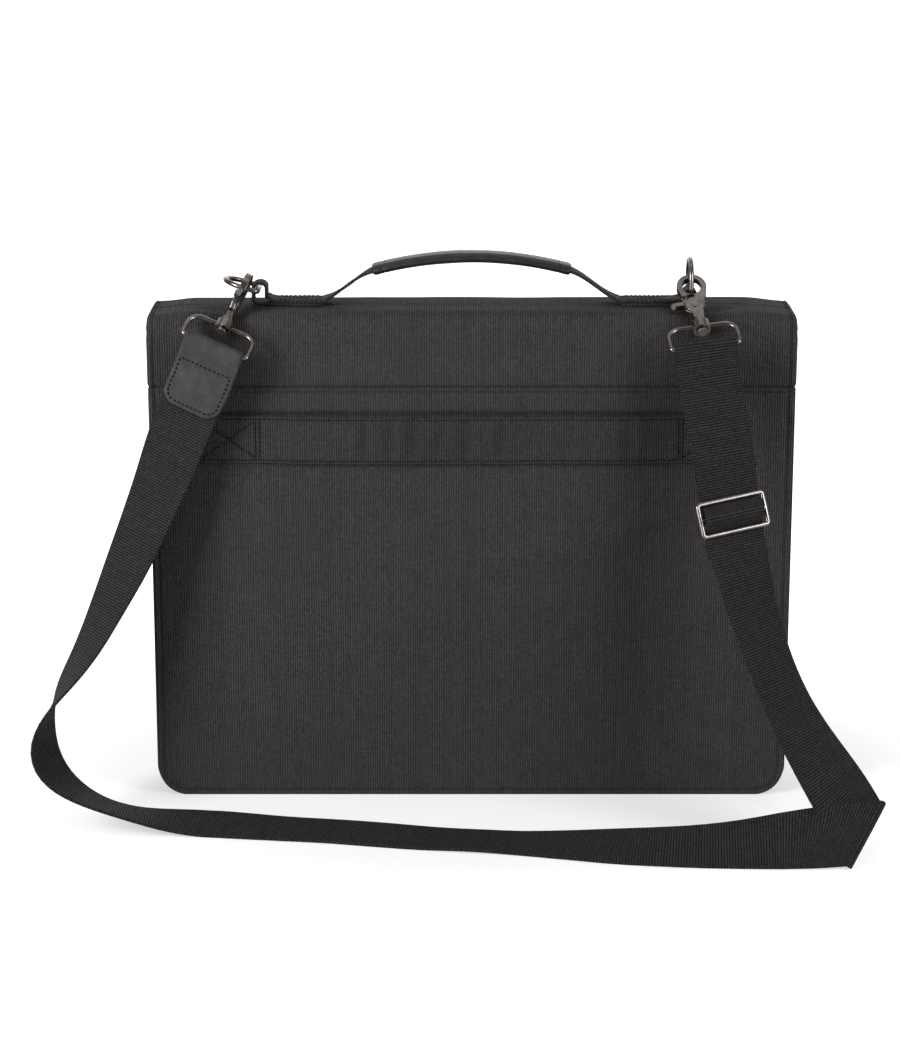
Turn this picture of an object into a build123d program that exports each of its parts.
"""Slim portfolio case with a flap lid, a carry handle and a detachable shoulder strap.

Origin: bottom centre of the case body, on the surface it stands on.
+X runs along the case (right), -Y is the back with the luggage sleeve, +Z is up. Millimetres.
"""
from build123d import *
import math
import os

os.makedirs("parts", exist_ok=True)

# ---------------------------------------------------------------- driving sizes
WIDTH = 400.0                        # overall length of the case
DEPTH = 60.0                         # back panel to closed flap
TOP_Z = 311.0                        # top of the closed flap
CORNER_R = 18.5                      # bottom corners of the two main panels
FLANGE = 3.4                         # bound seam outside the panel stitching
BINDING_DEPTH = 3.0                  # back binding, along Y
FABRIC = 1.2                         # ballistic nylon
BACK_FABRIC = 1.6                    # back panel with its folded hem
FOAM_T = 3.0
BOARD_T = 1.6
LINING_T = 0.8
SEAM_Z = 266.4                       # folded top edge of the back panel
APRON_Z = 254.0                      # bottom edge of the flap cloth inside the back panel
PIVOT_Z = 298.0                      # where the flap folds on the back
FRONT_FOLD_Z = 300.0                 # where the flap folds over the front edge
FLAP_DROP = 152.0                    # height the front of the flap hangs down to
FRONT_Y = 25.8                       # outside of the front panel, behind the flap
SNAP_X, SNAP_Z = 110.0, 182.0        # hidden magnetic snaps
SNAP_R = 9.0

# ---------------------------------------------------------------- derived places
HALF = WIDTH / 2
BACK_Y = -DEPTH / 2
FLAP_Y = DEPTH / 2                   # outside of the flap's front
GUSSET_X = HALF - FLANGE             # outside of the side gussets
GUSSET_R = CORNER_R - FLANGE
CLOTH_X = GUSSET_X - FABRIC          # inside of the gusset cloth
CLOTH_R = GUSSET_R - FABRIC
BOARD_X = CLOTH_X - FOAM_T           # inside of the gusset foam
BOARD_R = CLOTH_R - FOAM_T
BOARD_Z = FABRIC + FOAM_T
LINING_Z = BOARD_Z + BOARD_T

BACK_CLOTH_Y = BACK_Y + BACK_FABRIC  # inside of each layer, from the back
BACK_FOAM_Y = BACK_CLOTH_Y + FABRIC + FOAM_T
BACK_BOARD_Y = BACK_FOAM_Y + BOARD_T
FRONT_CLOTH_Y = FRONT_Y - FABRIC     # inside of each layer, from the front
FRONT_FOAM_Y = FRONT_CLOTH_Y - FOAM_T
FRONT_BOARD_Y = FRONT_FOAM_Y - BOARD_T

BODY_TOP = PIVOT_Z - 0.5
PANEL_TOP = BODY_TOP - 2
BACK_FOAM_TOP = BODY_TOP - 3
LINING_TOP = BODY_TOP - 4
FOAM_TOP = BODY_TOP - 5
BOARD_TOP = BODY_TOP - 6

ARC_SAG = 1 - math.sqrt(0.5)         # puts the midpoint on a quarter arc


# ---------------------------------------------------------------- shared helpers
def save(name, builder):
    """Label a piece and write its STEP file."""
    part = builder.part
    part.label = name
    export_step(part, f"parts/{name}.step")


def plane_at_y(y):
    """Upright plane at y, drawn in X and Z; a negative extrusion goes towards +Y."""
    return Plane.XZ.offset(-y)


def closed_outline(*points):
    """Straight-sided closed outline."""
    Polyline(*points, points[0])


def corner_arc(start, corner, end):
    """Quarter arc from start to end that rounds off a square corner."""
    middle = [c + (s - c + e - c) * ARC_SAG for s, c, e in zip(start, corner, end)]
    ThreePointArc(start, tuple(middle), end)


def tray_outline(half, r, bottom, top):
    """Upright panel outline with two rounded bottom corners."""
    Polyline((half, bottom + r), (half, top), (-half, top), (-half, bottom + r))
    corner_arc((-half, bottom + r), (-half, bottom), (-half + r, bottom))
    Line((-half + r, bottom), (half - r, bottom))
    corner_arc((half - r, bottom), (half, bottom), (half, bottom + r))


def upright(solid, hollow=None):
    """Upright slab with rounded bottom corners, less an optional hollow of the same form.

    Each is a tuple: half length, corner radius, bottom, top, y from, y to.
    """
    blocks = [(solid, Mode.ADD)]
    if hollow:
        blocks.append((hollow, Mode.SUBTRACT))
    with BuildPart() as slab:
        for (half, radius, bottom, top, y_from, y_to), mode in blocks:
            with BuildSketch(plane_at_y(y_from)):
                with BuildLine():
                    tray_outline(half, radius, bottom, top)
                make_face()
            extrude(amount=-(y_to - y_from), mode=mode)
    return slab


# ---------------------------------------------------------------- case body
save("back_panel", upright((GUSSET_X, GUSSET_R, FLANGE, SEAM_Z, BACK_Y, BACK_CLOTH_Y)))

# The flap's own cloth runs down inside the folded edge of the back panel.
with BuildPart() as flap_apron:
    with BuildSketch(Plane.YZ.offset(-GUSSET_X)):
        with BuildLine():
            closed_outline((BACK_CLOTH_Y, APRON_Z), (BACK_CLOTH_Y + FABRIC, APRON_Z),
                           (BACK_CLOTH_Y + FABRIC, BODY_TOP), (BACK_Y, BODY_TOP),
                           (BACK_Y, SEAM_Z + 0.8), (BACK_CLOTH_Y, SEAM_Z))
        make_face()
    extrude(amount=2 * GUSSET_X)
save("flap_apron", flap_apron)

# Front panel, with a round opening for each snap socket.
front_sheet = upright((GUSSET_X, GUSSET_R, FLANGE, PANEL_TOP, FRONT_CLOTH_Y, FRONT_Y))
with BuildPart() as front_panel:
    add(front_sheet.part)
    with BuildSketch(plane_at_y(FRONT_Y)):
        with Locations((-SNAP_X, SNAP_Z), (SNAP_X, SNAP_Z)):
            Circle(SNAP_R + 0.1)
    extrude(amount=FABRIC, mode=Mode.SUBTRACT)
save("front_panel", front_panel)

# One strip runs up both sides and under the bottom.
save("gusset", upright(
    (GUSSET_X, GUSSET_R, 0.0, PANEL_TOP, BACK_Y + BINDING_DEPTH, FRONT_CLOTH_Y),
    (CLOTH_X, CLOTH_R, FABRIC, BODY_TOP + 10, BACK_Y + 2.0, FRONT_Y)))

# Bound seams around the sides and bottom of both panels.
save("edge_binding_back", upright(
    (HALF, CORNER_R, 0.0, SEAM_Z, BACK_Y, BACK_Y + BINDING_DEPTH),
    (GUSSET_X, GUSSET_R, FLANGE, SEAM_Z + 5, BACK_Y - 1, BACK_Y + BINDING_DEPTH + 1)))
save("edge_binding_front", upright(
    (HALF, CORNER_R, 0.0, PANEL_TOP, FRONT_CLOTH_Y, FRONT_Y),
    (GUSSET_X, GUSSET_R, FLANGE, BODY_TOP + 5, FRONT_Y - 4, FRONT_Y + 1)))

# Foam inside the back panel, stepped where the flap cloth is sewn in.
FOAM_STEP_Z = APRON_Z - 0.2
FOAM_CUT_TOP = 320.0                 # clear above the foam
foam_slab = upright((CLOTH_X, CLOTH_R, FLANGE, BACK_FOAM_TOP, BACK_CLOTH_Y, BACK_FOAM_Y))
with BuildPart() as back_foam:
    add(foam_slab.part)
    with BuildSketch(plane_at_y(BACK_CLOTH_Y)):
        with Locations((0, (FOAM_STEP_Z + FOAM_CUT_TOP) / 2)):
            Rectangle(WIDTH, FOAM_CUT_TOP - FOAM_STEP_Z)
    extrude(amount=-FABRIC, mode=Mode.SUBTRACT)
save("back_foam", back_foam)

save("back_board", upright((BOARD_X, BOARD_R, BOARD_Z, BOARD_TOP, BACK_FOAM_Y, BACK_BOARD_Y)))
save("front_foam", upright((CLOTH_X, CLOTH_R, FABRIC, FOAM_TOP, FRONT_FOAM_Y, FRONT_CLOTH_Y)))
save("front_board", upright((BOARD_X, BOARD_R, BOARD_Z, BOARD_TOP, FRONT_BOARD_Y, FRONT_FOAM_Y)))
save("gusset_foam", upright(
    (CLOTH_X, CLOTH_R, FABRIC, FOAM_TOP, BACK_FOAM_Y, FRONT_FOAM_Y),
    (BOARD_X, BOARD_R, BOARD_Z, BODY_TOP + 5, BACK_FOAM_Y - 1, FRONT_CLOTH_Y)))

# A stiff strip keeps the bottom flat between the two boards.
with BuildPart() as bottom_board:
    with BuildSketch(Plane.XY.offset(BOARD_Z)):
        with Locations((0, (BACK_BOARD_Y + FRONT_BOARD_Y) / 2)):
            Rectangle(2 * (BOARD_X - CLOTH_R), FRONT_BOARD_Y - BACK_BOARD_Y)
    extrude(amount=BOARD_T)
save("bottom_board", bottom_board)

# Lining: a thin open-topped bag.
save("lining", upright(
    (BOARD_X, BOARD_R, LINING_Z, LINING_TOP, BACK_BOARD_Y, FRONT_BOARD_Y),
    (BOARD_X - LINING_T, BOARD_R - LINING_T, LINING_Z + LINING_T, BODY_TOP + 5,
     BACK_BOARD_Y + LINING_T, FRONT_BOARD_Y - LINING_T)))

# Flat open-topped pocket sewn to the back of the lining.
POCKET_W, POCKET_H = 320.0, 190.0
POCKET_GAP = 1.6                     # hollow, along Y
POCKET_SIDE, POCKET_BOTTOM = 3.0, 2.0
POCKET_Y = BACK_BOARD_Y + LINING_T
POCKET_MID_Z = LINING_Z + LINING_T + POCKET_H / 2
with BuildPart() as inner_pocket:
    with BuildSketch(plane_at_y(POCKET_Y)):
        with Locations((0, POCKET_MID_Z)):
            Rectangle(POCKET_W, POCKET_H)
    extrude(amount=-(POCKET_GAP + LINING_T))
    with BuildSketch(plane_at_y(POCKET_Y)):
        with Locations((0, POCKET_MID_Z + POCKET_BOTTOM)):
            Rectangle(POCKET_W - 2 * POCKET_SIDE, POCKET_H)
    extrude(amount=-POCKET_GAP, mode=Mode.SUBTRACT)
save("inner_pocket", inner_pocket)

# Luggage sleeve: sewn down at both ends, free in between.
BAND_X0, BAND_X1 = -170.1, 166.8
BAND_Z0, BAND_Z1 = 217.2, 247.7
BAND_T = 1.6
BAND_GAP = 0.8                       # between the free part and the back panel
SEWN, FREE = 38.0, 48.0              # from each end: sewn up to, free from
with BuildPart() as trolley_band:
    with BuildSketch(Plane.XY.offset(BAND_Z0)):
        with BuildLine():
            closed_outline(
                (BAND_X0, BACK_Y), (BAND_X0, BACK_Y - BAND_T),
                (BAND_X0 + SEWN, BACK_Y - BAND_T), (BAND_X0 + FREE, BACK_Y - BAND_T - BAND_GAP),
                (BAND_X1 - FREE, BACK_Y - BAND_T - BAND_GAP), (BAND_X1 - SEWN, BACK_Y - BAND_T),
                (BAND_X1, BACK_Y - BAND_T), (BAND_X1, BACK_Y),
                (BAND_X1 - SEWN, BACK_Y), (BAND_X1 - FREE, BACK_Y - BAND_GAP),
                (BAND_X0 + FREE, BACK_Y - BAND_GAP), (BAND_X0 + SEWN, BACK_Y))
        make_face()
    extrude(amount=BAND_Z1 - BAND_Z0)
save("trolley_band", trolley_band)


# ---------------------------------------------------------------- magnetic snaps
def snap_socket(x):
    """Steel cup of a magnetic snap, let into the front panel."""
    with BuildPart() as socket:
        with BuildSketch(plane_at_y(FRONT_CLOTH_Y)):
            with Locations((x, SNAP_Z)):
                Circle(SNAP_R)
                Circle(5.2, mode=Mode.SUBTRACT)
        extrude(amount=-FABRIC)
    return socket


def snap_stud(x):
    """Magnet disc on the inside of the flap, with a short nose towards the socket."""
    with BuildPart() as stud:
        for radius, amount in ((SNAP_R, -0.7), (3.8, 0.9)):
            with BuildSketch(plane_at_y(FRONT_Y + 0.2)):
                with Locations((x, SNAP_Z)):
                    Circle(radius)
            extrude(amount=amount)
    return stud


for side_name, snap_x in (("left", -SNAP_X), ("right", SNAP_X)):
    save(f"snap_socket_{side_name}", snap_socket(snap_x))
    save(f"snap_stud_{side_name}", snap_stud(snap_x))

# ---------------------------------------------------------------- flap, top part
BACK_FOLD_R = 12.0                   # soft fold at the back top edge
FRONT_FOLD_R = 8.0
PLATE_T = 2.0
FLAP_TOP_MID_Y = 2.0                 # centre of the plate and its lining
SKIN_BOTTOM = PIVOT_Z + 0.2
SKIN_IN_Z = TOP_Z - FABRIC           # inner faces of the cloth
SKIN_IN_BACK = BACK_Y + FABRIC
SKIN_IN_FRONT = FLAP_Y - FABRIC
BACK_FOLD_Y, BACK_FOLD_Z = BACK_Y + BACK_FOLD_R, TOP_Z - BACK_FOLD_R        # fold centres
FRONT_FOLD_Y, FRONT_ARC_Z = FLAP_Y - FRONT_FOLD_R, TOP_Z - FRONT_FOLD_R

# Outer cloth, rounded over the back edge and turned down a little at the front.
with BuildPart() as flap_top_skin:
    with BuildSketch(Plane.YZ.offset(-HALF)):
        with BuildLine():
            Line((BACK_Y, SKIN_BOTTOM), (BACK_Y, BACK_FOLD_Z))
            corner_arc((BACK_Y, BACK_FOLD_Z), (BACK_Y, TOP_Z), (BACK_FOLD_Y, TOP_Z))
            Line((BACK_FOLD_Y, TOP_Z), (FRONT_FOLD_Y, TOP_Z))
            corner_arc((FRONT_FOLD_Y, TOP_Z), (FLAP_Y, TOP_Z), (FLAP_Y, FRONT_ARC_Z))
            Polyline((FLAP_Y, FRONT_ARC_Z), (FLAP_Y, FRONT_FOLD_Z),
                     (SKIN_IN_FRONT, FRONT_FOLD_Z), (SKIN_IN_FRONT, FRONT_ARC_Z))
            corner_arc((SKIN_IN_FRONT, FRONT_ARC_Z), (SKIN_IN_FRONT, SKIN_IN_Z),
                       (FRONT_FOLD_Y, SKIN_IN_Z))
            Line((FRONT_FOLD_Y, SKIN_IN_Z), (BACK_FOLD_Y, SKIN_IN_Z))
            corner_arc((BACK_FOLD_Y, SKIN_IN_Z), (SKIN_IN_BACK, SKIN_IN_Z),
                       (SKIN_IN_BACK, BACK_FOLD_Z))
            Polyline((SKIN_IN_BACK, BACK_FOLD_Z), (SKIN_IN_BACK, SKIN_BOTTOM),
                     (BACK_Y, SKIN_BOTTOM))
        make_face()
    extrude(amount=WIDTH)
save("flap_top_skin", flap_top_skin)


def flap_top_layer(bottom, thickness, length, depth):
    """Flat rectangular layer under the top cloth."""
    with BuildPart() as layer:
        with BuildSketch(Plane.XY.offset(bottom)):
            with Locations((0, FLAP_TOP_MID_Y)):
                Rectangle(length, depth)
        extrude(amount=thickness)
    return layer


# Stiffener under the handle, and the lining that covers it.
save("flap_top_plate", flap_top_layer(SKIN_IN_Z - PLATE_T, PLATE_T, WIDTH - 12, 38))
save("flap_top_lining",
     flap_top_layer(SKIN_IN_Z - PLATE_T - LINING_T, LINING_T, WIDTH - 8, 39))

# ---------------------------------------------------------------- flap, front part
FLAP_BOARD_INSET, FLAP_LINING_INSET = 6, 4
FLAP_BOARD_Y = SKIN_IN_FRONT - 1.3   # back face of the board
FLAP_LINING_Y = SKIN_IN_FRONT - 1.9  # back face of the lining

save("flap_front_skin", upright(
    (HALF, 10.0, FLAP_DROP, FRONT_FOLD_Z - 0.4, SKIN_IN_FRONT, FLAP_Y)))
save("flap_front_board", upright(
    (HALF - FLAP_BOARD_INSET, 8.0, FLAP_DROP + FLAP_BOARD_INSET,
     FRONT_FOLD_Z - FLAP_BOARD_INSET, FLAP_BOARD_Y, SKIN_IN_FRONT)))
save("flap_front_lining", upright(
    (HALF - FLAP_LINING_INSET, 8.0, FLAP_DROP + FLAP_LINING_INSET,
     FRONT_FOLD_Z - FLAP_LINING_INSET, FLAP_LINING_Y, FLAP_BOARD_Y)))

# ---------------------------------------------------------------- handle
HANDLE_W = 20.0                      # webbing width, along Y
HANDLE_T = 2.0
STRIP_X = 92.0                       # inner end of the strip sewn on the flap
STRIP_T = 4.2                        # doubled webbing
GRIP_HALF = 61.0                     # half the length of the leather grip
GRIP_ARC = ((-GRIP_HALF, 0, 338.0), (0, 0, 343.3), (GRIP_HALF, 0, 338.0))
RING_R_X = 136.2                     # bar of the right D-ring


def ring_anchor(side, middle_x, loop_top, half_gap):
    """Doubled strip on the flap, ending in the loop that holds a D-ring.

    side is +1 or -1 along X; middle_x and half_gap place the opening of the loop.
    """
    near = middle_x - half_gap       # opening, towards the handle
    far = middle_x + half_gap        # opening, towards the end of the case
    outside = [(STRIP_X, TOP_Z), (far + HANDLE_T, TOP_Z), (far + HANDLE_T, loop_top - 3),
               (far - 1, loop_top), (near + 0.5, loop_top), (near - HANDLE_T, loop_top - 3),
               (near - HANDLE_T - 1.5, TOP_Z + 7), (near - HANDLE_T - 6, TOP_Z + STRIP_T),
               (STRIP_X, TOP_Z + STRIP_T)]
    opening = [(far, TOP_Z + HANDLE_T), (far, loop_top - HANDLE_T - 1),
               (far - 1, loop_top - HANDLE_T), (near + 0.6, loop_top - HANDLE_T),
               (near, loop_top - HANDLE_T - 1), (near, TOP_Z + HANDLE_T)]
    with BuildPart() as anchor:
        with BuildSketch(plane_at_y(-HANDLE_W / 2)):
            for outline, mode in ((outside, Mode.ADD), (opening, Mode.SUBTRACT)):
                with BuildLine():
                    closed_outline(*[(side * x, z) for x, z in outline])
                make_face(mode=mode)
        extrude(amount=-HANDLE_W)
        # narrow the loop at both edges to fit inside the ring
        trim_x = side * (near - HANDLE_T + 18.5)
        with Locations((trim_x, -HANDLE_W / 2, TOP_Z + 10), (trim_x, HANDLE_W / 2, TOP_Z + 10)):
            Box(40, 3.4, 40, mode=Mode.SUBTRACT)
        # notch in the outer wall of the left loop
        if side < 0:
            with Locations((-far - 2.65, -6.0, TOP_Z + 14)):
                Box(3.8, 8.6, 12, mode=Mode.SUBTRACT)
    return anchor


save("ring_anchor_right", ring_anchor(1, RING_R_X, 325.0, 2.6))
save("ring_anchor_left", ring_anchor(-1, 132.2, 329.2, 3.1))


def handle_leg(side):
    """Webbing rising from the strip on the flap to one end of the grip."""
    leg_end, grip_end = STRIP_X - 0.1, GRIP_HALF + 0.4
    outline = [(leg_end, 313.2), (leg_end, 315.2), (89.2, 315.8), (66.3, 337.2),
               (grip_end, 338.9), (grip_end, 336.9), (65.3, 335.4), (88.2, 313.9)]
    with BuildPart() as leg:
        with BuildSketch(plane_at_y(-HANDLE_W / 2)):
            with BuildLine():
                closed_outline(*[(side * x, z) for x, z in outline])
            make_face()
        extrude(amount=-HANDLE_W)
    return leg


save("handle_leg_right", handle_leg(1))
save("handle_leg_left", handle_leg(-1))


def start_plane(path):
    """Section plane at the start of a path, with its X axis along +Y."""
    return Plane(origin=path @ 0, x_dir=(0, 1, 0), z_dir=path % 0)


# Leather sleeve wrapped round the webbing.
with BuildPart() as handle_grip:
    with BuildLine() as grip_line:
        ThreePointArc(*GRIP_ARC)
    with BuildSketch(start_plane(grip_line.line)):
        RectangleRounded(23.5, 5.8, 2.7)
        Rectangle(HANDLE_W, HANDLE_T, mode=Mode.SUBTRACT)
    sweep()
save("handle_grip", handle_grip)

# Webbing inside the sleeve.
with BuildPart() as handle_core:
    with BuildLine() as core_line:
        ThreePointArc(*GRIP_ARC)
    with BuildSketch(start_plane(core_line.line)):
        Rectangle(HANDLE_W, HANDLE_T)
    sweep()
save("handle_core", handle_core)


# ---------------------------------------------------------------- D-rings
RING_WIRE = 3.2
RING_HALF = 12.1                     # half the bar, centreline
RING_REACH = 21.1                    # bar to bow, centreline
RING_CORNER_R = 2.6
RING_TILT = math.radians(17)         # left ring, above the horizontal
RING_L_REACH_DIR = Vector(-math.cos(RING_TILT), 0, math.sin(RING_TILT))
RING_PLANE_R = Plane(origin=(RING_R_X, 0, 320.9), x_dir=(0, 0, 1), z_dir=(-1, 0, 0))
RING_PLANE_L = Plane(origin=(-133.3, 0, 323.6), x_dir=RING_L_REACH_DIR,
                     z_dir=(-math.sin(RING_TILT), 0, -math.cos(RING_TILT)))


def cross_plane(plane, x, y, normal):
    """Plane across a given direction, at a point given in another plane's coordinates."""
    return Plane(origin=plane.from_local_coords(Vector(x, y, 0)), z_dir=normal)


def d_ring(plane):
    """Wire ring: straight bar on the plane's Y axis, bow towards its X axis."""
    half, r = RING_HALF, RING_CORNER_R
    leg = RING_REACH - RING_HALF
    with BuildPart() as ring:
        with BuildLine(plane) as path:
            Line((0, -half + r), (0, half - r))
            corner_arc((0, half - r), (0, half), (r, half))
            Line((r, half), (leg, half))
            ThreePointArc((leg, half), (leg + half, 0), (leg, -half))
            Line((leg, -half), (r, -half))
            corner_arc((r, -half), (0, -half), (0, -half + r))
        with BuildSketch(cross_plane(plane, 0, 0, plane.y_dir)):
            Circle(RING_WIRE / 2)
        sweep(path=path.wires()[0])
    return ring


save("ring_right", d_ring(RING_PLANE_R))
save("ring_left", d_ring(RING_PLANE_L))

# ---------------------------------------------------------------- hook and loop placing
EYE_Y, EYE_Z = -12.1, 326.0          # both hooks hang on the rings on this line
EYE_R = Vector(136.3, EYE_Y, EYE_Z)
EYE_L = Vector(-141.2, EYE_Y, EYE_Z)
# Strap bar centres and directions of the two wire loops.
BAR_R, BAR_R_DIR = Vector(142.70, -50.53, 296.52), Vector(0.989, 0.078, 0.122)
BAR_L, BAR_L_DIR = Vector(-157.65, -46.89, 296.23), Vector(0.918, -0.129, -0.374)


def square_to(vector, axis):
    """Unit vector along the part of a vector that is square to a unit axis."""
    return (vector - axis * vector.dot(axis)).normalized()


def loop_plane(eye, bar, bar_dir):
    """Origin at the hook eye, Y down the hook to the strap bar, X along the bar."""
    y = (bar - eye).normalized()
    x = square_to(bar_dir, y)
    return Plane(origin=eye, x_dir=x, z_dir=x.cross(y))


LOOP_PLANE_R = loop_plane(EYE_R, BAR_R, BAR_R_DIR)
LOOP_PLANE_L = loop_plane(EYE_L, BAR_L, BAR_L_DIR)
# The right hook lies in its loop's plane; the left one is turned about its own length
# so that its eye faces along the ring.
HOOK_PLANE_R = LOOP_PLANE_R
HOOK_L_DOWN = (BAR_L - EYE_L).normalized()
HOOK_L_FACE = square_to(RING_L_REACH_DIR, HOOK_L_DOWN)
HOOK_PLANE_L = Plane(origin=EYE_L, x_dir=HOOK_L_DOWN.cross(HOOK_L_FACE), z_dir=HOOK_L_FACE)

# ---------------------------------------------------------------- wire loops
LOOP_WIRE = 2.8
LOOP_HALF = 21.2                     # half width, centreline
EYE_TO_TOP = 32.6                    # hook eye to the top wire of its loop
EYE_TO_BAR = 48.7                    # hook eye to the strap bar of its loop


def rounded_loop(half, first_y, first_r, second_y, second_r):
    """Closed loop between two sides parallel to X, each with its own corner radius.

    It starts on the side at first_y and runs towards +X.
    """
    step = math.copysign(1, second_y - first_y)
    y1 = first_y + step * first_r    # ends of the two sides parallel to Y
    y2 = second_y - step * second_r
    Line((-half + first_r, first_y), (half - first_r, first_y))
    corner_arc((half - first_r, first_y), (half, first_y), (half, y1))
    Line((half, y1), (half, y2))
    corner_arc((half, y2), (half, second_y), (half - second_r, second_y))
    Line((half - second_r, second_y), (-half + second_r, second_y))
    corner_arc((-half + second_r, second_y), (-half, second_y), (-half, y2))
    Line((-half, y2), (-half, y1))
    corner_arc((-half, y1), (-half, first_y), (-half + first_r, first_y))


def strap_loop(plane):
    """Rounded wire loop with the swivel barrel the hook's stud turns in."""
    with BuildPart() as loop:
        with BuildLine(plane) as path:
            rounded_loop(LOOP_HALF, EYE_TO_BAR, 1.8, EYE_TO_TOP, 7.5)
        with BuildSketch(cross_plane(plane, 0, EYE_TO_BAR, plane.x_dir)):
            Circle(LOOP_WIRE / 2)
        sweep(path=path.wires()[0])
        # barrel, then its bore: start, radius, length
        for start, radius, length, mode in ((29.6, 5.4, 6.0, Mode.ADD),
                                            (29.0, 2.2, 8.0, Mode.SUBTRACT)):
            with BuildSketch(cross_plane(plane, 0, start, plane.y_dir)):
                Circle(radius)
            extrude(amount=length, mode=mode)
    return loop


# ---------------------------------------------------------------- snap hooks
# Drawn in the hook's own plane: origin in the eye, Y towards the strap bar.
HOOK_T = 4.2                         # full thickness, centred on the plane
HOOK_BACK = -HOOK_T / 2              # offset of the face on the plane's -Z side
CHEEK_T = 1.85
EYE_OUTER = (9.2, 9.9)               # half axes of the eye
EYE_INNER = (5.7, 6.5)
RIVET = (-0.6, 15.2)                 # rivet position
RIVET_HOLE_R = 1.3


def snap_hook(plane):
    """Fixed half of a scissor snap: claw, round cheek, neck and swivel stud."""
    with BuildPart() as hook:
        # claw: +X half of the eye
        with BuildSketch(plane.offset(HOOK_BACK)):
            Ellipse(*EYE_OUTER)
            Ellipse(*EYE_INNER, mode=Mode.SUBTRACT)
            with Locations((-10.0, 0)):
                Rectangle(20.2, 40, mode=Mode.SUBTRACT)
            with BuildLine():
                closed_outline((5.0, 4.0), (8.6, 3.6), (7.4, 8.6), (3.6, 8.2))
            make_face()
        extrude(amount=HOOK_T)
        # room for the trigger's flat body
        with BuildSketch(plane.offset(-0.2)):
            with Locations((1.4, 9.0)):
                Rectangle(4.6, 7.2)
        extrude(amount=2.6, mode=Mode.SUBTRACT)
        # cheek on the -Z side of the trigger
        with BuildSketch(plane.offset(HOOK_BACK)):
            with Locations(RIVET):
                Circle(6.1)
            with BuildLine():
                closed_outline((0.6, 9.6), (4.4, 7.0), (7.6, 6.0), (5.4, 15))
            make_face()
        extrude(amount=CHEEK_T)
        with BuildSketch(plane.offset(HOOK_BACK)):
            with BuildLine():
                closed_outline((-3.7, 18.5), (3.7, 18.5), (3.6, 22.4), (-3.6, 22.4))
            make_face()
        extrude(amount=CHEEK_T)
        # neck beyond the trigger, towards the swivel
        with BuildSketch(plane.offset(HOOK_BACK)):
            with BuildLine():
                closed_outline((-3.6, 22.1), (3.6, 22.1), (3.0, 27.0), (-3.0, 27.0))
            make_face()
        extrude(amount=HOOK_T)
        # collar, swivel stud and its head: start, radius, length
        for start, radius, length in ((26.0, 3.4, 3.3), (28.0, 1.95, 8.0), (35.9, 3.5, 2.0)):
            with BuildSketch(cross_plane(plane, 0, start, plane.y_dir)):
                Circle(radius)
            extrude(amount=length)
        # rivet hole
        with BuildSketch(plane.offset(-3)):
            with Locations(RIVET):
                Circle(RIVET_HOLE_R)
        extrude(amount=6, mode=Mode.SUBTRACT)
    return hook


def snap_trigger(plane):
    """Moving half: jaw closing the -X side of the eye, with the thumb lever."""
    with BuildPart() as trigger:
        # jaw
        with BuildSketch(plane.offset(HOOK_BACK)):
            Ellipse(*EYE_OUTER)
            Ellipse(*EYE_INNER, mode=Mode.SUBTRACT)
            with Locations((10.0, 0)):
                Rectangle(20.6, 40, mode=Mode.SUBTRACT)
            with Locations((0, 14)):
                Rectangle(40, 14, mode=Mode.SUBTRACT)
        extrude(amount=HOOK_T)
        # flat body running past the cheek
        with BuildSketch(plane):
            with BuildLine():
                closed_outline((-8.4, 3.6), (-5.0, 4.4), (-1.0, 7.6), (4.2, 12.6), (4.2, 17.2),
                               (1.4, 20.2), (-3.6, 20.4), (-6.8, 17.4), (-7.0, 12.4))
            make_face()
        extrude(amount=HOOK_T / 2)
        # root of the jaw
        with BuildSketch(plane.offset(HOOK_BACK)):
            with BuildLine():
                closed_outline((-8.6, 3.2), (-5.4, 4.2), (-4.8, 7.4), (-7.4, 7.8))
            make_face()
        extrude(amount=HOOK_T)
        # thumb lever with its tip turned towards the strap bar
        with BuildSketch(plane.offset(HOOK_BACK)):
            with BuildLine():
                closed_outline((-5.6, 12.0), (-5.6, 15.4), (-12.6, 15.2), (-13.0, 17.8),
                               (-15.6, 17.8), (-15.8, 14.4), (-13.8, 12.4))
            make_face()
        extrude(amount=HOOK_T)
        # room for the cheek, then the rivet hole: offset, radius, depth
        for offset, radius, depth in ((-2.4, 6.5, 2.4), (-3, RIVET_HOLE_R, 6)):
            with BuildSketch(plane.offset(offset)):
                with Locations(RIVET):
                    Circle(radius)
            extrude(amount=depth, mode=Mode.SUBTRACT)
    return trigger


def hook_rivet(plane):
    """Rivet that pins the trigger to the hook."""
    with BuildPart() as rivet:
        # head, shank, head: offset, radius, length
        for offset, radius, length in ((-2.7, 2.2, 0.6), (-2.2, 1.2, 4.5), (2.1, 2.2, 0.6)):
            with BuildSketch(plane.offset(offset)):
                with Locations(RIVET):
                    Circle(radius)
            extrude(amount=length)
    return rivet


for side_name, wire_plane, hook_plane in (("right", LOOP_PLANE_R, HOOK_PLANE_R),
                                          ("left", LOOP_PLANE_L, HOOK_PLANE_L)):
    save(f"loop_{side_name}", strap_loop(wire_plane))
    save(f"hook_{side_name}", snap_hook(hook_plane))
    save(f"trigger_{side_name}", snap_trigger(hook_plane))
    save(f"hook_rivet_{side_name}", hook_rivet(hook_plane))

# ---------------------------------------------------------------- shoulder strap
STRAP_T = 1.8                        # webbing, 38 wide
TAB_T = 1.5                          # leather tab

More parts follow.
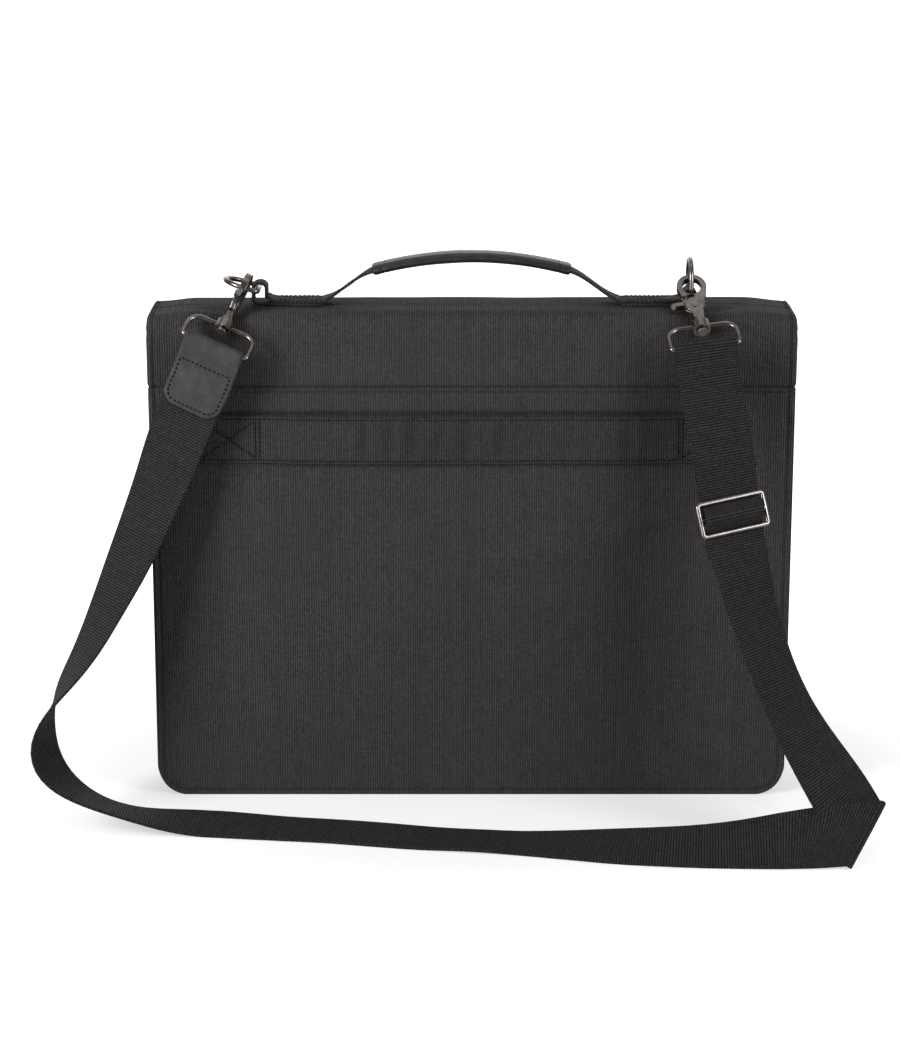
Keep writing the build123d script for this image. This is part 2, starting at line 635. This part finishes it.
# Stations along the webbing. Columns: centre x y z, half-width vector x y z,
# face normal x y z. It starts sewn round the slider's centre bar, runs up to the right
# loop, round its bar, down through the slider, folds back on itself at the floor,
# crosses on the -Y side of the case and rises to the left.
STRAP_STATIONS = [
    (159.05, -77.84, 199.57, 17.96, 5.61, 2.65, -0.007, -0.408, 0.913),
    (159.33, -78.66, 198.95, 17.96, 5.61, 2.65, 0.131, -0.735, 0.666),
    (159.53, -79.15, 198.03, 17.96, 5.61, 2.65, 0.245, -0.924, 0.295),
    (159.63, -79.17, 196.77, 17.96, 5.61, 2.65, 0.320, -0.922, -0.216),
    (159.54, -78.58, 195.65, 17.96, 5.61, 2.65, 0.309, -0.674, -0.671),
    (159.28, -77.54, 194.98, 17.96, 5.61, 2.65, 0.216, -0.244, -0.945),
    (158.94, -76.32, 194.93, 17.96, 5.61, 2.65, 0.064, 0.252, -0.966),
    (158.59, -75.25, 195.52, 17.96, 5.61, 2.65, -0.105, 0.679, -0.727),
    (158.33, -74.62, 196.59, 17.96, 5.61, 2.65, -0.245, 0.924, -0.295),
    (157.91, -73.56, 198.33, 17.96, 5.61, 2.65, -0.118, 0.708, -0.696),
    (157.34, -71.96, 199.90, 17.96, 5.61, 2.65, -0.118, 0.708, -0.696),
    (156.92, -70.90, 201.63, 17.96, 5.61, 2.65, -0.236, 0.913, -0.331),
    (156.49, -70.10, 204.49, 17.96, 5.61, 2.65, -0.245, 0.924, -0.295),
    (156.06, -69.30, 207.35, 17.96, 5.61, 2.65, -0.246, 0.924, -0.292),
    (155.56, -68.41, 211.23, 17.98, 5.53, 2.65, -0.260, 0.944, -0.205),
    (155.16, -67.81, 215.20, 18.06, 5.29, 2.64, -0.258, 0.955, -0.148),
    (154.68, -67.22, 220.21, 18.20, 4.77, 2.64, -0.230, 0.961, -0.153),
    (154.06, -66.42, 225.14, 18.35, 4.14, 2.65, -0.181, 0.955, -0.236),
    (152.77, -64.46, 232.78, 18.48, 3.51, 2.71, -0.140, 0.950, -0.278),
    (151.21, -62.23, 241.17, 18.53, 3.15, 2.76, -0.121, 0.953, -0.277),
    (149.56, -60.00, 249.53, 18.58, 2.81, 2.79, -0.103, 0.956, -0.276),
    (147.89, -57.77, 257.90, 18.63, 2.51, 2.78, -0.089, 0.958, -0.272),
    (146.34, -55.55, 266.29, 18.67, 2.24, 2.75, -0.076, 0.961, -0.267),
    (145.00, -53.33, 274.72, 18.70, 2.01, 2.68, -0.066, 0.963, -0.261),
    (143.98, -51.37, 282.39, 18.74, 1.81, 2.58, -0.058, 0.965, -0.257),
    (143.33, -49.91, 288.15, 18.76, 1.66, 2.48, -0.052, 0.966, -0.254),
    (142.95, -48.94, 292.00, 18.78, 1.57, 2.40, -0.048, 0.966, -0.253),
    (142.58, -47.97, 295.85, 18.80, 1.48, 2.32, -0.045, 0.967, -0.253),
    (142.49, -47.91, 296.90, 18.80, 1.48, 2.32, -0.095, 0.985, 0.142),
    (142.44, -48.25, 297.86, 18.80, 1.48, 2.32, -0.129, 0.857, 0.500),
    (142.42, -48.96, 298.64, 18.80, 1.48, 2.32, -0.144, 0.589, 0.795),
    (142.45, -49.87, 299.08, 18.80, 1.48, 2.32, -0.138, 0.244, 0.960),
    (142.52, -50.92, 299.14, 18.80, 1.48, 2.32, -0.109, -0.153, 0.982),
    (142.61, -51.88, 298.80, 18.80, 1.48, 2.32, -0.066, -0.511, 0.857),
    (142.72, -52.66, 298.10, 18.80, 1.48, 2.32, -0.010, -0.805, 0.593),
    (142.82, -53.09, 297.19, 18.80, 1.48, 2.32, 0.045, -0.967, 0.253),
    (143.10, -53.76, 294.29, 18.79, 1.55, 2.38, 0.047, -0.966, 0.253),
    (143.49, -54.44, 290.37, 18.77, 1.64, 2.46, 0.051, -0.966, 0.254),
    (143.99, -55.06, 285.42, 18.75, 1.76, 2.55, 0.056, -0.965, 0.256),
    (144.68, -55.71, 279.45, 18.72, 1.90, 2.63, 0.062, -0.964, 0.259),
    (145.48, -56.61, 273.56, 18.69, 2.06, 2.70, 0.068, -0.963, 0.263),
    (146.41, -57.98, 267.81, 18.67, 2.22, 2.74, 0.075, -0.961, 0.266),
    (147.82, -59.99, 260.22, 18.63, 2.46, 2.78, 0.086, -0.959, 0.271),
    (149.46, -62.14, 252.14, 18.59, 2.75, 2.79, 0.100, -0.956, 0.275),
    (151.12, -64.28, 244.06, 18.55, 3.06, 2.77, 0.116, -0.954, 0.277),
    (152.70, -66.43, 235.95, 18.49, 3.40, 2.72, 0.134, -0.951, 0.278),
    (154.19, -68.59, 227.84, 18.43, 3.77, 2.66, 0.154, -0.948, 0.279),
    (155.15, -69.84, 222.05, 18.23, 4.65, 2.64, 0.218, -0.959, 0.179),
    (155.81, -70.45, 216.03, 18.06, 5.29, 2.64, 0.265, -0.958, 0.108),
    (156.29, -70.97, 211.00, 17.97, 5.57, 2.65, 0.270, -0.949, 0.163),
    (156.64, -71.49, 208.05, 17.96, 5.61, 2.65, 0.258, -0.937, 0.236),
    (156.92, -71.98, 206.03, 17.96, 5.61, 2.65, 0.239, -0.917, 0.318),
    (157.21, -72.68, 204.80, 17.96, 5.61, 2.65, 0.124, -0.719, 0.683),
    (157.69, -74.08, 203.69, 17.96, 5.61, 2.65, 0.035, -0.516, 0.856),
    (158.28, -75.92, 202.72, 17.96, 5.61, 2.65, -0.000, -0.428, 0.904),
    (158.92, -77.90, 201.79, 17.96, 5.61, 2.65, 0.005, -0.441, 0.898),
    (159.49, -79.65, 200.79, 17.96, 5.61, 2.65, 0.052, -0.559, 0.828),
    (159.87, -80.76, 199.79, 17.96, 5.61, 2.65, 0.140, -0.753, 0.643),
    (160.11, -81.32, 198.73, 17.96, 5.61, 2.65, 0.245, -0.924, 0.295),
    (160.22, -81.40, 197.51, 17.96, 5.61, 2.65, 0.310, -0.945, -0.101),
    (160.20, -80.98, 196.02, 17.96, 5.61, 2.65, 0.326, -0.869, -0.372),
    (160.05, -80.03, 194.16, 17.96, 5.61, 2.65, 0.324, -0.802, -0.501),
    (159.85, -78.85, 192.23, 17.96, 5.61, 2.65, 0.324, -0.794, -0.514),
    (159.68, -77.80, 190.34, 17.96, 5.61, 2.65, 0.326, -0.846, -0.422),
    (159.63, -77.21, 188.59, 17.96, 5.61, 2.65, 0.315, -0.936, -0.156),
    (159.74, -77.26, 187.15, 17.96, 5.61, 2.65, 0.250, -0.930, 0.271),
    (160.06, -77.88, 185.17, 17.96, 5.61, 2.65, 0.231, -0.907, 0.352),
    (160.56, -78.96, 182.40, 17.94, 5.66, 2.65, 0.216, -0.881, 0.421),
    (161.54, -81.12, 177.90, 17.81, 6.05, 2.66, 0.219, -0.853, 0.473),
    (162.90, -83.69, 172.54, 17.45, 7.04, 2.63, 0.285, -0.863, 0.417),
    (164.27, -85.60, 167.01, 16.93, 8.25, 2.54, 0.372, -0.867, 0.332),
    (166.00, -87.84, 159.52, 16.42, 9.18, 2.37, 0.419, -0.839, 0.348),
    (168.02, -90.35, 151.24, 15.97, 9.98, 2.17, 0.457, -0.811, 0.366),
    (170.24, -92.90, 143.02, 15.51, 10.74, 1.96, 0.492, -0.780, 0.386),
    (172.70, -95.50, 134.88, 15.05, 11.45, 1.75, 0.522, -0.749, 0.409),
    (175.36, -98.17, 126.83, 14.62, 12.06, 1.57, 0.546, -0.718, 0.432),
    (178.21, -100.95, 118.88, 14.27, 12.55, 1.45, 0.561, -0.691, 0.456),
    (181.21, -103.85, 111.03, 14.03, 12.89, 1.42, 0.567, -0.670, 0.478),
    (184.35, -106.89, 103.29, 13.93, 13.02, 1.50, 0.561, -0.658, 0.503),
    (187.66, -110.10, 95.70, 13.98, 12.95, 1.70, 0.540, -0.653, 0.530),
    (191.17, -113.46, 88.28, 14.15, 12.65, 2.07, 0.505, -0.657, 0.559),
    (194.90, -117.01, 81.06, 14.46, 12.09, 2.61, 0.454, -0.670, 0.588),
    (198.86, -120.72, 74.05, 14.85, 11.31, 3.35, 0.390, -0.692, 0.607),
    (203.03, -124.55, 67.21, 15.23, 10.39, 4.25, 0.320, -0.721, 0.615),
    (207.36, -128.45, 60.51, 15.50, 9.41, 5.33, 0.248, -0.754, 0.609),
    (211.77, -132.38, 53.87, 15.55, 8.49, 6.66, 0.180, -0.790, 0.587),
    (216.18, -136.29, 47.22, 15.27, 7.72, 8.31, 0.115, -0.824, 0.554),
    (220.55, -140.13, 40.50, 14.63, 7.15, 10.34, 0.054, -0.855, 0.515),
    (224.82, -143.90, 33.68, 13.63, 6.81, 12.73, -0.004, -0.880, 0.475),
    (229.01, -147.60, 26.78, 12.34, 6.65, 15.38, -0.063, -0.897, 0.438),
    (233.15, -151.26, 19.82, 10.89, 6.59, 18.17, -0.123, -0.907, 0.403),
    (233.61, -151.67, 19.03, 10.70, 6.60, 18.50, -0.018, -0.938, 0.345),
    (234.92, -152.32, 19.12, 10.70, 6.60, 18.50, -0.454, -0.723, 0.521),
    (235.86, -153.54, 19.15, 10.70, 6.60, 18.50, -0.769, -0.314, 0.557),
    (236.19, -155.02, 19.05, 10.70, 6.60, 18.50, -0.878, 0.180, 0.444),
    (235.81, -156.36, 19.43, 10.70, 6.60, 18.50, -0.752, 0.625, 0.212),
    (234.82, -157.19, 20.30, 10.70, 6.60, 18.50, -0.424, 0.903, -0.077),
    (233.50, -157.30, 21.10, 10.70, 6.60, 18.50, 0.018, 0.938, -0.345),
    (228.56, -157.16, 20.58, 9.51, 6.72, 18.30, 0.077, 0.922, -0.379),
    (213.16, -155.58, 18.59, 5.74, 8.22, 17.13, 0.229, 0.845, -0.483),
    (198.03, -152.24, 15.92, 2.48, 11.44, 14.84, 0.289, 0.734, -0.614),
    (182.83, -149.05, 13.11, 0.78, 14.54, 12.21, 0.234, 0.618, -0.751),
    (167.37, -146.81, 10.82, 0.72, 16.24, 9.84, 0.170, 0.505, -0.846),
    (151.76, -145.08, 9.12, 1.17, 17.15, 8.10, 0.126, 0.417, -0.900),
    (136.08, -143.52, 7.90, 1.68, 17.63, 6.88, 0.097, 0.354, -0.930),
    (120.40, -141.76, 6.99, 2.20, 17.90, 5.98, 0.091, 0.306, -0.948),
    (104.80, -139.44, 6.16, 2.81, 18.07, 5.14, 0.099, 0.258, -0.961),
    (89.34, -136.39, 5.26, 3.43, 18.20, 4.24, 0.107, 0.206, -0.973),
    (74.01, -132.68, 4.26, 3.89, 18.31, 3.23, 0.107, 0.151, -0.983),
    (58.80, -128.52, 3.17, 4.08, 18.43, 2.12, 0.095, 0.093, -0.991),
    (43.59, -124.37, 2.14, 3.95, 18.56, 1.02, 0.069, 0.040, -0.997),
    (28.25, -120.72, 1.41, 3.55, 18.66, 0.11, 0.034, -0.000, -0.999),
    (12.72, -117.94, 1.36, 3.13, 18.74, -0.31, 0.004, -0.017, -1.000),
    (-2.92, -115.71, 1.34, 2.89, 18.78, -0.29, 0.001, -0.016, -1.000),
    (-18.56, -113.43, 1.14, 2.89, 18.78, -0.09, -0.002, -0.004, -1.000),
    (-34.12, -110.75, 1.18, 3.03, 18.76, 0.13, -0.007, 0.008, -1.000),
    (-49.62, -107.70, 1.32, 3.14, 18.74, 0.27, -0.006, 0.015, -1.000),
    (-65.10, -104.52, 1.39, 3.12, 18.74, 0.33, -0.002, 0.018, -1.000),
    (-80.61, -101.54, 1.44, 2.97, 18.76, 0.34, 0.002, 0.018, -1.000),
    (-96.19, -98.92, 1.44, 2.73, 18.80, 0.34, 0.003, 0.018, -1.000),
    (-104.98, -97.64, 1.44, 2.59, 18.82, 0.38, 0.002, 0.020, -1.000),
    (-113.78, -96.45, 1.50, 2.45, 18.84, 0.45, -0.000, 0.024, -1.000),
    (-122.59, -95.30, 1.62, 2.32, 18.85, 0.57, -0.004, 0.031, -1.000),
    (-131.40, -94.14, 1.79, 2.18, 18.86, 0.74, -0.007, 0.040, -0.999),
    (-140.21, -92.95, 1.98, 2.02, 18.87, 0.94, -0.008, 0.050, -0.999),
    (-149.01, -91.70, 2.17, 1.80, 18.88, 1.12, -0.009, 0.060, -0.998),
    (-157.80, -90.43, 2.30, 1.51, 18.90, 1.25, -0.018, 0.067, -0.998),
    (-166.60, -89.33, 2.38, 1.13, 18.93, 1.22, -0.041, 0.067, -0.997),
    (-175.41, -88.62, 2.93, 0.67, 18.97, 0.92, -0.076, 0.051, -0.996),
    (-184.22, -88.34, 3.78, 0.17, 19.00, 0.32, -0.112, 0.018, -0.994),
    (-193.03, -88.33, 4.92, -0.28, 18.99, -0.49, -0.146, -0.028, -0.989),
    (-201.79, -88.43, 6.40, -0.57, 18.94, -1.39, -0.186, -0.078, -0.979),
    (-210.49, -88.49, 8.29, -0.61, 18.87, -2.14, -0.236, -0.117, -0.965),
    (-219.09, -88.37, 10.63, -0.35, 18.82, -2.58, -0.289, -0.135, -0.948),
    (-227.57, -87.94, 13.44, 0.23, 18.81, -2.68, -0.347, -0.128, -0.929),
    (-235.88, -87.15, 16.76, 1.11, 18.81, -2.46, -0.411, -0.094, -0.907),
    (-243.88, -86.00, 20.70, 2.24, 18.76, -2.02, -0.489, -0.035, -0.871),
    (-251.31, -84.55, 25.47, 3.49, 18.61, -1.55, -0.594, 0.045, -0.803),
    (-257.71, -82.91, 31.29, 4.65, 18.38, -1.26, -0.721, 0.136, -0.680),
    (-262.55, -81.30, 38.26, 5.43, 18.16, -1.35, -0.848, 0.218, -0.483),
    (-265.33, -79.84, 46.22, 5.46, 18.10, -1.86, -0.938, 0.260, -0.228),
    (-265.84, -78.55, 54.75, 4.46, 18.28, -2.64, -0.970, 0.241, 0.028),
    (-264.36, -77.26, 63.34, 2.38, 18.55, -3.34, -0.958, 0.165, 0.235),
    (-261.39, -75.75, 71.61, -0.43, 18.65, -3.60, -0.919, 0.054, 0.391),
    (-257.46, -73.86, 79.40, -3.25, 18.43, -3.28, -0.861, -0.062, 0.505),
    (-252.94, -71.63, 86.77, -5.40, 18.02, -2.66, -0.804, -0.157, 0.573),
    (-248.21, -69.18, 93.91, -6.88, 17.60, -2.00, -0.769, -0.233, 0.595),
    (-243.56, -66.64, 101.06, -7.94, 17.20, -1.41, -0.756, -0.301, 0.581),
    (-239.19, -64.10, 108.35, -8.81, 16.81, -0.89, -0.750, -0.364, 0.553),
    (-235.10, -61.63, 115.83, -9.56, 16.42, -0.39, -0.742, -0.420, 0.523),
    (-231.24, -59.24, 123.46, -10.25, 16.00, 0.11, -0.727, -0.469, 0.501),
    (-227.51, -56.94, 131.18, -10.92, 15.53, 0.65, -0.705, -0.516, 0.487),
    (-223.80, -54.72, 138.95, -11.60, 14.99, 1.26, -0.675, -0.562, 0.478),
    (-220.11, -52.62, 146.75, -12.29, 14.36, 1.92, -0.643, -0.612, 0.461),
    (-216.45, -50.66, 154.61, -12.93, 13.68, 2.60, -0.610, -0.660, 0.438),
    (-212.84, -48.88, 162.53, -13.49, 12.99, 3.22, -0.580, -0.704, 0.411),
    (-209.28, -47.31, 170.51, -13.95, 12.34, 3.77, -0.554, -0.742, 0.379),
    (-205.78, -45.97, 178.57, -14.34, 11.72, 4.26, -0.531, -0.774, 0.344),
    (-202.33, -44.88, 186.68, -14.70, 11.09, 4.69, -0.508, -0.804, 0.309),
    (-198.90, -44.05, 194.83, -15.07, 10.39, 5.09, -0.482, -0.833, 0.272),
    (-195.51, -43.50, 203.01, -15.47, 9.57, 5.48, -0.453, -0.862, 0.229),
    (-192.20, -43.23, 211.25, -15.89, 8.62, 5.85, -0.417, -0.891, 0.179),
    (-188.97, -43.20, 219.52, -16.29, 7.57, 6.19, -0.373, -0.917, 0.138),
    (-185.80, -43.29, 227.82, -16.63, 6.49, 6.51, -0.324, -0.940, 0.110),
    (-182.60, -43.42, 236.11, -16.87, 5.50, 6.80, -0.275, -0.957, 0.092),
    (-179.30, -43.54, 244.36, -17.02, 4.66, 7.04, -0.231, -0.969, 0.084),
    (-175.84, -43.64, 252.54, -17.11, 4.00, 7.23, -0.199, -0.977, 0.071),
    (-172.27, -43.82, 260.67, -17.17, 3.49, 7.36, -0.179, -0.983, 0.049),
    (-168.64, -44.17, 268.76, -17.22, 3.09, 7.41, -0.168, -0.986, 0.019),
    (-165.12, -44.75, 276.87, -17.29, 2.79, 7.38, -0.166, -0.986, -0.016),
    (-161.84, -45.57, 285.07, -17.35, 2.60, 7.29, -0.167, -0.985, -0.045),
]

# Leather tab, same columns: up one face of the strap's left end, round the bar of the
# left loop and down the other face. Both ends taper.
TAB_STATIONS = [
    (-174.93, -45.40, 255.53, -12.70, 2.82, 5.40, -0.190, -0.980, 0.064),
    (-174.76, -45.41, 255.89, -13.88, 3.07, 5.91, -0.190, -0.980, 0.063),
    (-174.36, -45.43, 256.80, -15.31, 3.33, 6.52, -0.187, -0.980, 0.061),
    (-173.75, -45.46, 258.17, -16.42, 3.49, 7.02, -0.184, -0.981, 0.057),
    (-173.14, -45.50, 259.53, -16.99, 3.53, 7.27, -0.181, -0.982, 0.053),
    (-172.52, -45.54, 260.89, -17.17, 3.48, 7.36, -0.179, -0.983, 0.049),
    (-170.67, -45.70, 264.96, -17.19, 3.27, 7.39, -0.172, -0.984, 0.034),
    (-168.22, -45.99, 270.39, -17.23, 3.02, 7.41, -0.167, -0.986, 0.013),
    (-165.84, -46.39, 275.83, -17.28, 2.82, 7.39, -0.166, -0.986, -0.012),
    (-163.58, -46.90, 281.31, -17.32, 2.68, 7.33, -0.167, -0.985, -0.034),
    (-161.78, -47.45, 285.91, -17.36, 2.59, 7.27, -0.167, -0.985, -0.047),
    (-160.41, -48.07, 289.61, -17.39, 2.53, 7.22, -0.166, -0.985, -0.054),
    (-159.22, -48.64, 292.84, -17.42, 2.49, 7.17, -0.165, -0.985, -0.059),
    (-158.03, -49.21, 296.09, -17.45, 2.45, 7.11, -0.163, -0.985, -0.060),
    (-157.58, -49.03, 297.20, -17.45, 2.45, 7.11, 0.031, -0.910, 0.413),
    (-157.14, -48.28, 298.06, -17.45, 2.45, 7.11, 0.217, -0.591, 0.777),
    (-156.84, -47.16, 298.42, -17.45, 2.45, 7.11, 0.345, -0.114, 0.932),
    (-156.76, -45.97, 298.20, -17.45, 2.45, 7.11, 0.380, 0.393, 0.837),
    (-156.91, -45.02, 297.45, -17.45, 2.45, 7.11, 0.314, 0.796, 0.518),
    (-157.27, -44.58, 296.37, -17.45, 2.45, 7.11, 0.163, 0.985, 0.060),
    (-158.50, -44.35, 293.10, -17.42, 2.49, 7.17, 0.165, 0.985, 0.059),
    (-159.74, -44.13, 289.82, -17.39, 2.53, 7.22, 0.166, 0.985, 0.054),
    (-161.18, -43.90, 286.08, -17.36, 2.59, 7.27, 0.167, 0.985, 0.047),
    (-163.00, -43.45, 281.43, -17.32, 2.68, 7.33, 0.167, 0.985, 0.034),
    (-165.26, -42.94, 275.87, -17.28, 2.82, 7.39, 0.166, 0.986, 0.012),
    (-167.64, -42.54, 270.34, -17.23, 3.02, 7.41, 0.167, 0.986, -0.013),
    (-170.07, -42.25, 264.84, -17.19, 3.27, 7.39, 0.172, 0.984, -0.034),
    (-171.90, -42.10, 260.72, -17.17, 3.48, 7.36, 0.179, 0.983, -0.049),
    (-172.50, -42.07, 259.34, -16.99, 3.53, 7.27, 0.181, 0.982, -0.053),
    (-173.10, -42.03, 257.97, -16.42, 3.49, 7.02, 0.184, 0.981, -0.057),
    (-173.70, -42.00, 256.59, -15.31, 3.33, 6.52, 0.187, 0.980, -0.061),
    (-174.10, -41.98, 255.67, -13.88, 3.07, 5.91, 0.190, 0.980, -0.063),
    (-174.26, -41.97, 255.30, -12.70, 2.82, 5.40, 0.190, 0.980, -0.064),
]


def ribbon(stations, thickness):
    """Band of constant thickness through a list of stations."""
    with BuildPart() as band:
        for station in stations:
            half_width, normal = Vector(*station[3:6]), Vector(*station[6:9])
            with BuildSketch(Plane(origin=station[:3], x_dir=half_width,
                                   z_dir=half_width.cross(normal))):
                Rectangle(2 * half_width.length, thickness)
        loft(ruled=True)
    return band


save("shoulder_strap", ribbon(STRAP_STATIONS, STRAP_T))
save("leather_tab", ribbon(TAB_STATIONS, TAB_T))

# ---------------------------------------------------------------- slider
SLIDER_WIRE_R = 1.4
SLIDER_HALF_W, SLIDER_HALF_H = 21.3, 9.9     # centreline of the frame
SLIDER_CORNER_R = 1.8
SLIDER_PLANE = Plane(origin=Vector(158.934, -76.883, 197.313),
                     x_dir=Vector(0.945, 0.295, 0.140),
                     z_dir=Vector(0.245, -0.924, 0.295))

# Wire frame with a straight centre bar.
with BuildPart() as slider:
    with BuildLine(SLIDER_PLANE) as frame_path:
        rounded_loop(SLIDER_HALF_W, -SLIDER_HALF_H, SLIDER_CORNER_R,
                     SLIDER_HALF_H, SLIDER_CORNER_R)
    with BuildSketch(cross_plane(SLIDER_PLANE, 0, -SLIDER_HALF_H, SLIDER_PLANE.x_dir)):
        Circle(SLIDER_WIRE_R)
    sweep(path=frame_path.wires()[0])
    with BuildSketch(cross_plane(SLIDER_PLANE, -SLIDER_HALF_W, 0, SLIDER_PLANE.x_dir)):
        Circle(SLIDER_WIRE_R)
    extrude(amount=2 * SLIDER_HALF_W)
save("slider", slider)
